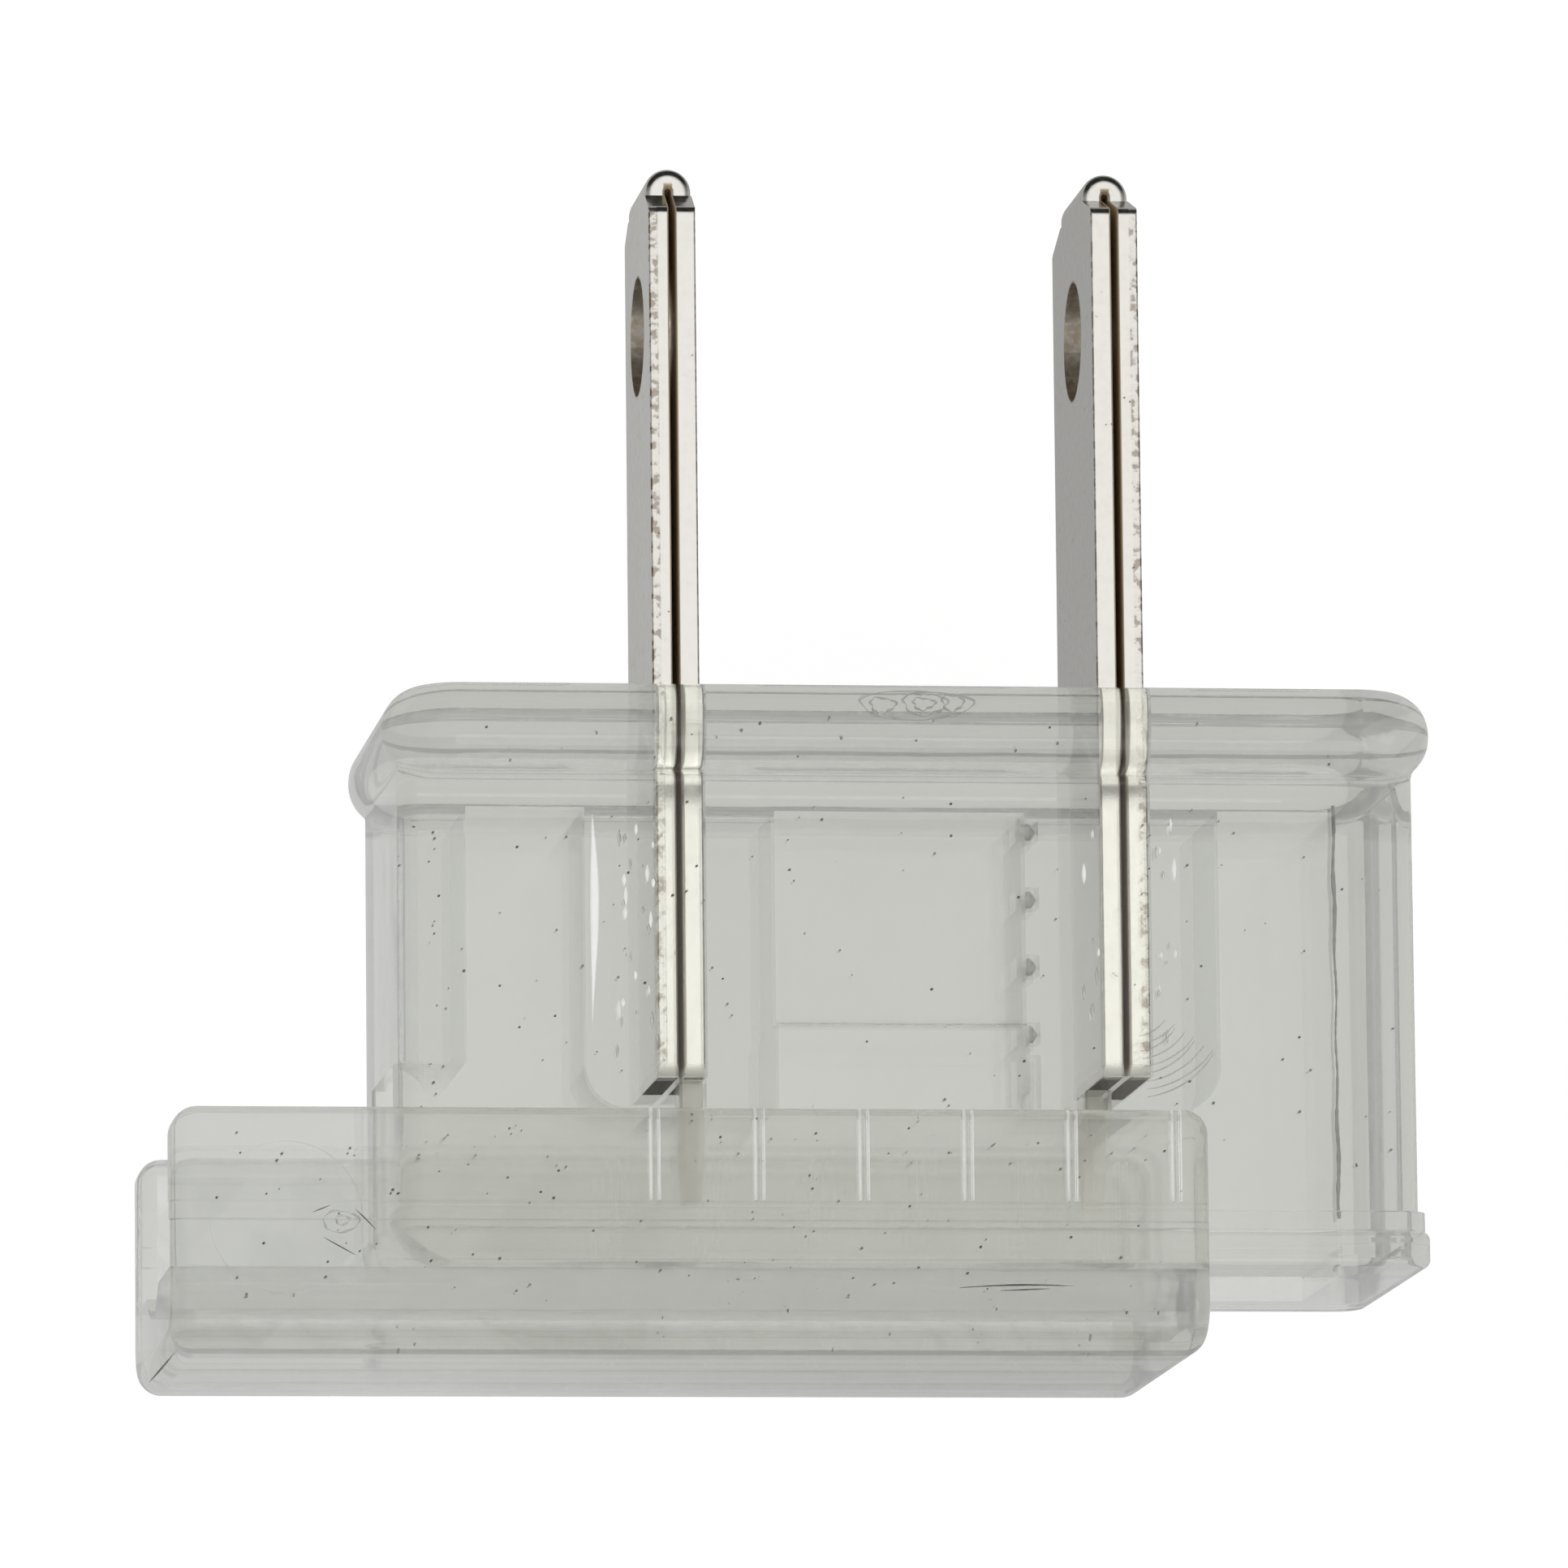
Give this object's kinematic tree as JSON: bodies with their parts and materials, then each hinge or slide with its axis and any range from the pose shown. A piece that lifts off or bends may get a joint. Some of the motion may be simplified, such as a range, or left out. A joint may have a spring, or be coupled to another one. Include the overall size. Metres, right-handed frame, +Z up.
{
  "type": "straight blade plug",
  "caption": "Clear polarised straight blade plug for flat lamp cord, with folded blades, piercing prongs and a cover that slides along its foot, shown partly open.",
  "frame": {"origin": "on the mating face of the flange, midway between the two blades and halfway through the plug's depth", "axes": "+X along the plug, from the cord entry to the closed end; +Y along the blades, from the mating face to their tips; +Z up, away from the surface that the plug lies on"},
  "size_m": [0.0362, 0.0347, 0.0148],
  "materials": {
    "clear_plastic": "clear, slightly smoky, glossy",
    "nickel_plated_brass": "bright nickel plate"
  },
  "bodies": {
    "plug": {"housing": "clear_plastic", "narrow_blade": "nickel_plated_brass", "wide_blade": "nickel_plated_brass"},
    "cover": {"slide_cover": "clear_plastic"}
  },
  "joints": [
    {"name": "cover_slide", "type": "slide", "parent": "plug", "child": "cover", "axis": [1, 0, 0], "range_m": [-0.02, 0.0065]}
  ]
}
